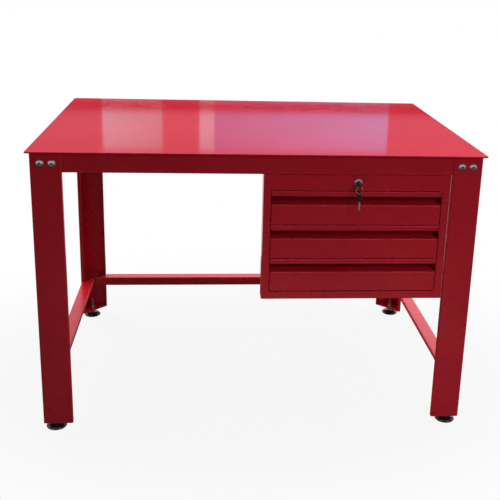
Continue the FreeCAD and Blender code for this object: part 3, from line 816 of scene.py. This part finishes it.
class WORKBENCH_OT_levelling_feet(bpy.types.Operator):
    """Turns a foot, cuts a threaded stud with its collar and nuts, and sets them under each leg"""
    bl_idname = "workbench.levelling_feet"
    bl_label = "Levelling Feet"

    def base(self, sizes, low, high, floor):
        """A low round foot with a curved shoulder, a rounded rim and a socket for its stud."""
        radius, height = (high.x - low.x) / 2, high.z - low.z
        bore, neck, edge = sizes.nut_bore, sizes.neck_radius, sizes.foot_edge
        shoulder = sizes.rim_height - edge
        profile = [(0, floor), (bore, floor), (bore, height), (neck, height)]
        steps = 6
        for step in range(1, steps + 1):
            angle = math.radians(90) * step / steps
            profile.append((neck + (radius - edge - neck) * math.sin(angle),
                            shoulder + (height - shoulder) * math.cos(angle)))
        profile += [(radius, shoulder - edge), (radius, edge), (radius - edge, 0), (0, 0)]
        return polished(turned(profile, ORIGIN, UP, steps=64), angle=40.0)

    def stud(self, sizes, low, high, collar):
        """A core, a helical ridge and a chamfered collar."""
        core = sizes.stud_radius - sizes.thread_depth
        lead = sizes.stud_chamfer
        bar = turned([(0, low), (core - lead, low), (core, low + lead),
                      (core, high - lead), (core - lead, high), (0, high)], ORIGIN, UP, steps=32)
        start = collar[1] + sizes.thread_pitch / 2
        turns = int((high - lead - start) / sizes.thread_pitch) - 1
        half, crest, sunk = sizes.thread_pitch * 0.46, sizes.thread_crest, 0.3 * MM
        inside, outside = core - sunk, sizes.stud_radius
        section = [(inside, 0, start - half), (outside, 0, start - crest),
                   (outside, 0, start + crest), (inside, 0, start + half)]
        ridge = wound(section, "Z", sizes.thread_pitch, turns, steps=28)
        head = chamfered(sizes.collar_flats, collar[0], collar[1], sizes.collar_fall)
        return polished(joined([bar, ridge, head]))

    def execute(self, context):
        sizes = context.scene.workbench_sizes
        low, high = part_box("foot_base_front_left")
        stud_low, stud_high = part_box("foot_stud_front_left")
        nuts_low, nuts_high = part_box("foot_nuts")
        plate_low, plate_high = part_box("foot_plates")
        collar = (high.z + sizes.collar_base_gap, nuts_low.z - sizes.collar_nut_gap)
        base = self.base(sizes, low, high, stud_low.z)
        stud = self.stud(sizes, stud_low.z, stud_high.z, collar)
        jam = hexagon_nut(sizes.foot_nut_flats, sizes.nut_bore, plate_low.z - nuts_low.z)
        weld = hexagon_nut(sizes.foot_nut_flats, sizes.nut_bore, nuts_high.z - plate_high.z)
        each_turn = 17.0
        nuts = []
        for index, corner in enumerate(FEET):
            foot_low, foot_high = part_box("foot_base_" + corner)
            spot = Vector(((foot_low.x + foot_high.x) / 2, (foot_low.y + foot_high.y) / 2, 0))
            turn = Matrix.Rotation(math.radians(each_turn * index), 4, "Z")
            at = Matrix.Translation(spot)
            dressed(copied(base, at), "moulded_foot_" + corner, "foot_" + corner, "black_plastic",
                    foot_plastic(), "foot_base_" + corner)
            dressed(copied(stud, at @ turn), "threaded_stud_" + corner, "stud_" + corner, "plated_steel",
                    zinc_plate(), "foot_stud_" + corner)
            nuts.append(copied(jam, Matrix.Translation(spot + Vector((0, 0, nuts_low.z))) @ turn))
            nuts.append(copied(weld, Matrix.Translation(spot + Vector((0, 0, plate_high.z)))))
        for piece in (base, stud, jam, weld):
            bpy.data.objects.remove(piece)
        dressed(joined(nuts), "stud_nuts", "bench", "plated_steel", zinc_plate(), "foot_nuts")
        return {"FINISHED"}


class WORKBENCH_OT_lock(bpy.types.Operator):
    """Turns the lock's housing with its stepped bezel, and finishes the plug, nut, cam and screw"""
    bl_idname = "workbench.lock"
    bl_label = "Lock"

    def execute(self, context):
        sizes = context.scene.workbench_sizes
        low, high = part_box("lock_barrel")
        centre = Vector(((low.x + high.x) / 2, low.y, (low.z + high.z) / 2))
        bezel = (high.x - low.x) / 2
        plug_low, plug_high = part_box("lock_plug")
        bore = (plug_high.x - plug_low.x) / 2 + sizes.lock_clearance
        length = high.y - low.y
        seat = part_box("front_frame")[0].y - low.y
        body = bezel - sizes.bezel_overhang
        step, fall = sizes.bezel_groove, sizes.bezel_round
        groove = step * 0.6
        inner, floor_start, floor_end, outer = (bezel * share for share in (0.74, 0.78, 0.82, 0.86))
        profile = [(bore, length), (bore, step), (bore + step, 0), (inner, 0),
                   (floor_start, groove), (floor_end, groove), (outer, 0)]
        steps = 5
        for index in range(1, steps + 1):
            angle = math.radians(90) * index / steps
            profile.append((bezel - fall + fall * math.sin(angle), fall - fall * math.cos(angle)))
        profile += [(bezel, seat), (body, seat), (body, length - step), (body - step, length),
                    (bore, length)]
        barrel = polished(turned(profile, centre, (0, 1, 0), steps=64), angle=30.0)
        dressed(barrel, "lock_housing", "bench", "lock_metal", satin_chrome(), "lock_barrel")
        for node, name, edge, slot, finish in (
            ("lock_plug", "lock_cylinder", 0.2 * MM, "lock_metal", satin_chrome()),
            ("lock_cam", "lock_tongue", 0.3 * MM, "plated_steel", zinc_plate()),
            ("cam_screw", "tongue_screw", 0.4 * MM, "plated_steel", zinc_plate()),
        ):
            dressed(eased(node, edge), name, "key", slot, finish, node)
        low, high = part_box("lock_nut")
        nut = hexagon_nut(high.x - low.x, body + sizes.lock_clearance, high.y - low.y)
        tilt = Matrix.Rotation(math.radians(90), 4, "X")
        place = Matrix.Translation((centre.x, high.y, centre.z)) @ tilt
        dressed(placed(nut, [place]), "housing_nut", "bench", "plated_steel", zinc_plate(), "lock_nut")
        return {"FINISHED"}


class WORKBENCH_OT_keys(bpy.types.Operator):
    """Mills one key blade, moulds its bow, and puts one key in the lock and a spare on the split ring"""
    bl_idname = "workbench.keys"
    bl_label = "Keys"

    def blade(self, sizes, length, thick, wide):
        """A blade along +Y from its shoulder, with a tapered tip, milled grooves and cuts below."""
        tip, flat, half = sizes.blade_tip, sizes.cut_flat, wide / 2
        outline = [(-tip, -half), (length - tip, -half), (length, tip - half), (length, half - tip),
                   (length - tip, half), (-tip, half)]
        piece = outlined([(-thick / 2, along, up) for along, up in outline], (thick, 0, 0))
        groove, below, above = thick * 0.3, half * 0.1, half * 0.35
        for middle in (-thick / 2, thick / 2):
            mill = block((middle - groove, tip / 2, -below), (middle + groove, length + tip, above))
            carved(piece, mill)
        over = 0.2 * MM
        for index, depth in enumerate(sizes.cut_depths):
            at = sizes.cut_start + sizes.cut_pitch * index
            spread = depth + flat + over
            outline = [(at - spread, -half - over), (at - flat, depth - half), (at + flat, depth - half),
                       (at + spread, -half - over)]
            carved(piece, outlined([(-thick, along, up) for along, up in outline], (2 * thick, 0, 0)))
        softened(piece, sizes.blade_edge, segments=1, angle=50.0)
        return polished(piece)

    def bow(self, sizes, length, thick, wide):
        """A moulded bow with rounded corners, a sunk panel on both faces and a slot for the ring."""
        piece = block((-thick / 2, -length, -wide / 2), (thick / 2, 0, wide / 2))
        pick(piece, "EDGE", lambda place, way: abs(way.x) > PARALLEL)
        bpy.ops.mesh.bevel(offset=sizes.bow_corner, segments=8, affect="EDGES")
        for side in (-1, 1):
            pick(piece, "FACE", lambda place, way: way.x * side > PARALLEL)
            bpy.ops.mesh.inset(thickness=sizes.bow_border)
            bpy.ops.mesh.inset(thickness=sizes.bow_edge, depth=-sizes.bow_sink)
            only(piece)
        middle = sizes.slot_place - length
        across, along = sizes.slot_width / 2, sizes.slot_length / 2
        slot = block((-thick, middle - across, -along), (thick, middle + across, along))
        pick(slot, "EDGE", lambda place, way: abs(way.x) > PARALLEL)
        nearly_round = across * 0.97
        bpy.ops.mesh.bevel(offset=nearly_round, segments=8, affect="EDGES")
        only(slot)
        carved(piece, slot)
        softened(piece, sizes.bow_edge, segments=3)
        return polished(piece, angle=40.0)

    def ring(self, sizes, centre, radius, wire):
        """Two coils of flattened wire, wound about Y."""
        coil = sizes.ring_coil
        width, height = wire * 0.86, coil * 0.46
        slim, low = 0.6 * width, 0.4 * height
        section = [(width, low), (slim, height), (-slim, height), (-width, low),
                   (-width, -low), (-slim, -height), (slim, -height), (width, -low)]
        start = [(radius + across, up - coil, 0) for across, up in section]
        coils = wound(start, "Y", coil, turns=2, steps=48)
        return polished(placed(coils, [Matrix.Translation(centre)]), angle=50.0)

    def execute(self, context):
        sizes = context.scene.workbench_sizes
        blade_low, blade_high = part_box("key_blade")
        bow_low, bow_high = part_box("key_bow")
        thick, wide = blade_high.x - blade_low.x, blade_high.z - blade_low.z
        shoulder = Vector(((bow_low.x + bow_high.x) / 2, bow_high.y, (bow_low.z + bow_high.z) / 2))
        blade = self.blade(sizes, blade_high.y - bow_high.y, thick, wide)
        bow = self.bow(sizes, bow_high.y - bow_low.y, bow_high.x - bow_low.x, bow_high.z - bow_low.z)
        in_lock = Matrix.Translation(shoulder)
        ring_low, ring_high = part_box("key_ring")
        wire = (ring_high.y - ring_low.y) / 2
        centre = (ring_low + ring_high) / 2
        spare_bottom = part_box("spare_key_bow")[0].z
        down = Matrix.Rotation(math.radians(-90), 4, "X")
        turn = Matrix.Rotation(sizes.spare_turn, 4, "Z")
        hanging = Matrix.Translation((centre.x, centre.y, spare_bottom)) @ turn @ down
        for name, body, place in (("", "key", in_lock), ("spare_", "spare_key", hanging)):
            dressed(copied(blade, place), name + "key_milled_blade", body, "plated_steel", satin_chrome(),
                    name + "key_blade")
            dressed(copied(bow, place), name + "key_moulded_bow", body, "black_plastic",
                    moulded_plastic(), name + "key_bow")
        bpy.data.objects.remove(blade)
        bpy.data.objects.remove(bow)
        ring = self.ring(sizes, centre, (ring_high.x - ring_low.x) / 2 - wire, wire)
        dressed(ring, "split_ring", "ring", "plated_steel", satin_chrome(), "key_ring")
        return {"FINISHED"}


class WORKBENCH_OT_stage(bpy.types.Operator):
    """Sets up the floor, the soft lights, the reflected cards and the camera"""
    bl_idname = "workbench.stage"
    bl_label = "Stage"

    def light(self, name, place, aim, size, power):
        """A soft lamp that lights the bench but leaves no hot spot in its gloss."""
        only(None)
        bpy.ops.object.light_add(type="AREA", location=place)
        lamp = bpy.context.object
        lamp.name = name
        lamp.rotation_euler = (Vector(aim) - Vector(place)).to_track_quat("-Z", "Y").to_euler()
        lamp.data.shape = "RECTANGLE"
        lamp.data.size, lamp.data.size_y = size
        lamp.data.energy = power
        lamp.data.color = LAMP_TINT
        lamp.visible_glossy = False

    def card(self, name, low, high, shade, shares):
        """A card between two corners that only gloss shows, with its shade scaled along X by two shares."""
        low, high = Vector(low), Vector(high)
        size = high - low
        upright = abs(size.z) > 0
        turn = (math.radians(90), 0, 0) if upright else (0, 0, 0)
        card = added(bpy.ops.mesh.primitive_plane_add, size=1.0, location=(low + high) / 2, rotation=turn)
        card.scale = (size.x, size.z if upright else size.y, 1.0)
        card.name = name
        made, kit = finish_kit(name)
        along = kit.node("ShaderNodeSeparateXYZ", None, {"Vector": kit.place()}, "X") + 0.5
        ends = [colour(shade, (share, share, share)) for share in shares]
        glow = kit.node("ShaderNodeEmission", None, {"Color": kit.blend(along, *ends), "Strength": 1.0})
        kit.node("ShaderNodeOutputMaterial", None, {"Surface": glow})
        card.data.materials.append(made)
        card.visible_camera = card.visible_diffuse = False
        card.visible_shadow = card.visible_transmission = False

    def floor(self):
        """A floor that is clear to the camera but for a faint shadow, so that lowered feet still show."""
        extent, near, far, clear_share = 40.0, 0.5, 1.2, 0.90
        oval, grey = (0.8, 1.0, 1.0), (0.3, 0.3, 0.3)
        floor = added(bpy.ops.mesh.primitive_plane_add, size=extent, location=ORIGIN)
        floor.name = "floor"
        made, kit = finish_kit("pale_floor")
        ray = kit.node("ShaderNodeLightPath", None, None, "Is Camera Ray")
        spot = kit.node("ShaderNodeMapping", None, {"Vector": kit.place(), "Scale": oval})
        away = kit.node("ShaderNodeVectorMath", {"operation": "LENGTH"}, {0: spot}, "Value")
        clear = kit.node("ShaderNodeBsdfTransparent", None, {"Color": (1, 1, 1, 1)})
        plain = kit.node("ShaderNodeBsdfDiffuse", None, {"Color": colour(grey)})
        share = ray * (clear_share + away.between(near, far) * (1.0 - clear_share))
        mixed = kit.node("ShaderNodeMixShader", None, {0: share, 1: plain, 2: clear})
        kit.node("ShaderNodeOutputMaterial", None, {"Surface": mixed})
        floor.data.materials.append(made)

    def room(self, context, fill):
        """White to the eye and to the gloss, and a low even fill to everything else."""
        world = bpy.data.worlds.new("studio")
        context.scene.world = world
        world.use_nodes = True
        kit = Kit(world.node_tree)
        seen = kit.node("ShaderNodeLightPath", None, None, "Is Camera Ray")
        gloss = kit.node("ShaderNodeLightPath", None, None, "Is Glossy Ray")
        clear = kit.node("ShaderNodeLightPath", None, None, "Is Transmission Ray")
        white = seen + gloss + clear
        strength = white.between(0.0, 0.5) * (1.0 - fill) + fill
        back = kit.node("ShaderNodeBackground", None, {"Color": (1, 1, 1, 1), "Strength": strength})
        kit.node("ShaderNodeOutputWorld", None, {"Surface": back})

    def lamps(self, view):
        """The place, aim and size of each soft lamp; its power is one of the view's settings."""
        for name, place, aim, size in (
            ("overhead", (0.3, 0.3, 3.2), (0.1, 0.1, 0.8), (3.2, 2.6)),
            ("rear_left", (-2.0, 2.2, 1.3), (-0.5, 0, 0.15), (1.2, 1.2)),
            ("rear_right", (2.4, 2.6, 1.3), (0.2, 0, 0.15), (1.6, 1.2)),
            ("left", (-3.0, 0.5, 1.5), (-0.4, 0.1, 0.2), (1.6, 1.6)),
            ("right", (3.0, 0.5, 1.5), (0.4, 0.1, 0.2), (1.6, 1.6)),
            ("front", (1.7, -2.8, 2.1), (0.2, -0.4, 0.5), (0.9, 0.9)),
            ("low", (0.25, -0.95, 0.05), (0.25, -0.4, 0.5), (0.9, 0.3)),
        ):
            self.light(name + "_light", place, aim, size, getattr(view, name))

    def cards(self, view):
        """Screens that worktop and stretchers mirror, dark flags, and windows for bolts and lock."""
        plate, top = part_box("worktop")[1].z, 1.33
        wall, near, nearer, low_wall, front = 2.0, 1.98, 1.96, 0.75, -3.2
        window, ground = front + 0.1, 2 * MM
        dark, dim, bright = (0.02, 0.02, 0.02), (0.05, 0.05, 0.05), (2.4, 2.3, 2.3)
        even = (1.0, 1.0)
        for name, low, high, shade, shares in (
            ("pale_screen", (-0.70, near, plate), (-0.38, near, top), view.pale_screen, (1.0, 0.75)),
            ("slim_screen", (-0.18, near, plate), (-0.10, near, top), view.pale_screen, even),
            ("lilac_screen", (-0.10, near, plate), (0.86, near, top), view.lilac_screen, (0.62, 1.0)),
            ("rose_screen", (-4.0, wall, 0), (4.0, wall, 2.4), view.rose_screen, even),
            ("low_screen", (-1.8, low_wall, 0.1), (1.8, low_wall, plate - 0.02), view.low_screen,
             (0.42, 1.1)),
            ("flag_rear", (-4.0, nearer, 1.05), (4.0, nearer, 1.112), dark, even),
            ("flag_front", (-2.4, front, 0), (2.6, front, 2.6), dark, even),
            ("flag_floor", (-1.9, front, ground), (2.1, wall - 0.1, ground), dim, even),
            ("window_right", (1.3, window, 2.0), (2.5, window, 3.4), bright, even),
            ("window_left", (-2.3, window, 2.2), (-1.5, window, 3.4), bright, even),
        ):
            self.card(name, low, high, shade, shares)

    def camera(self, context, view):
        """The camera where the photograph was taken, turned by yaw, pitch and roll."""
        only(None)
        bpy.ops.object.camera_add(location=view.place)
        camera = context.object
        camera.name = "camera"
        level = math.cos(view.pitch)
        ahead = Vector((math.sin(view.yaw) * level, math.cos(view.yaw) * level, -math.sin(view.pitch)))
        right = Vector((math.cos(view.yaw), -math.sin(view.yaw), 0))
        up = right.cross(ahead)
        across = right * math.cos(view.roll) + up * math.sin(view.roll)
        upright = up * math.cos(view.roll) - right * math.sin(view.roll)
        turn = Matrix((across, upright, -ahead)).transposed().to_4x4()
        camera.matrix_world = Matrix.Translation(view.place) @ turn
        camera.data.sensor_width = 36.0
        camera.data.lens = view.focal * camera.data.sensor_width
        camera.data.shift_x, camera.data.shift_y = view.shift
        camera.data.clip_end = 60.0
        context.scene.camera = camera

    def execute(self, context):
        view = context.scene.workbench_view
        context.scene.view_settings.view_transform = "Standard"
        self.floor()
        self.room(context, view.fill)
        self.lamps(view)
        self.cards(view)
        self.camera(context, view)
        return {"FINISHED"}


OPERATORS = (
    WORKBENCH_OT_sheet_metal,
    WORKBENCH_OT_worktop,
    WORKBENCH_OT_drawer_fronts,
    WORKBENCH_OT_leg_bolts,
    WORKBENCH_OT_levelling_feet,
    WORKBENCH_OT_lock,
    WORKBENCH_OT_keys,
    WORKBENCH_OT_stage,
)


class VIEW3D_PT_workbench(bpy.types.Panel):
    """Lists the steps that dress the workbench"""
    bl_label = "Workbench"
    bl_space_type = "VIEW_3D"
    bl_region_type = "UI"
    bl_category = "Workbench"

    def draw(self, context):
        for operator in OPERATORS:
            self.layout.operator(operator.bl_idname)


CLASSES = (WorkbenchFinish, WorkbenchSizes, WorkbenchView) + OPERATORS + (VIEW3D_PT_workbench,)


def register():
    for item in CLASSES:
        bpy.utils.register_class(item)
    bpy.types.Scene.workbench_finish = bpy.props.PointerProperty(type=WorkbenchFinish)
    bpy.types.Scene.workbench_sizes = bpy.props.PointerProperty(type=WorkbenchSizes)
    bpy.types.Scene.workbench_view = bpy.props.PointerProperty(type=WorkbenchView)


def unregister():
    del bpy.types.Scene.workbench_view
    del bpy.types.Scene.workbench_sizes
    del bpy.types.Scene.workbench_finish
    for item in reversed(CLASSES):
        bpy.utils.unregister_class(item)


def main():
    register()
    for operator in OPERATORS:
        group, step = operator.bl_idname.split(".")
        getattr(getattr(bpy.ops, group), step)()


if __name__ == "__main__":
    main()
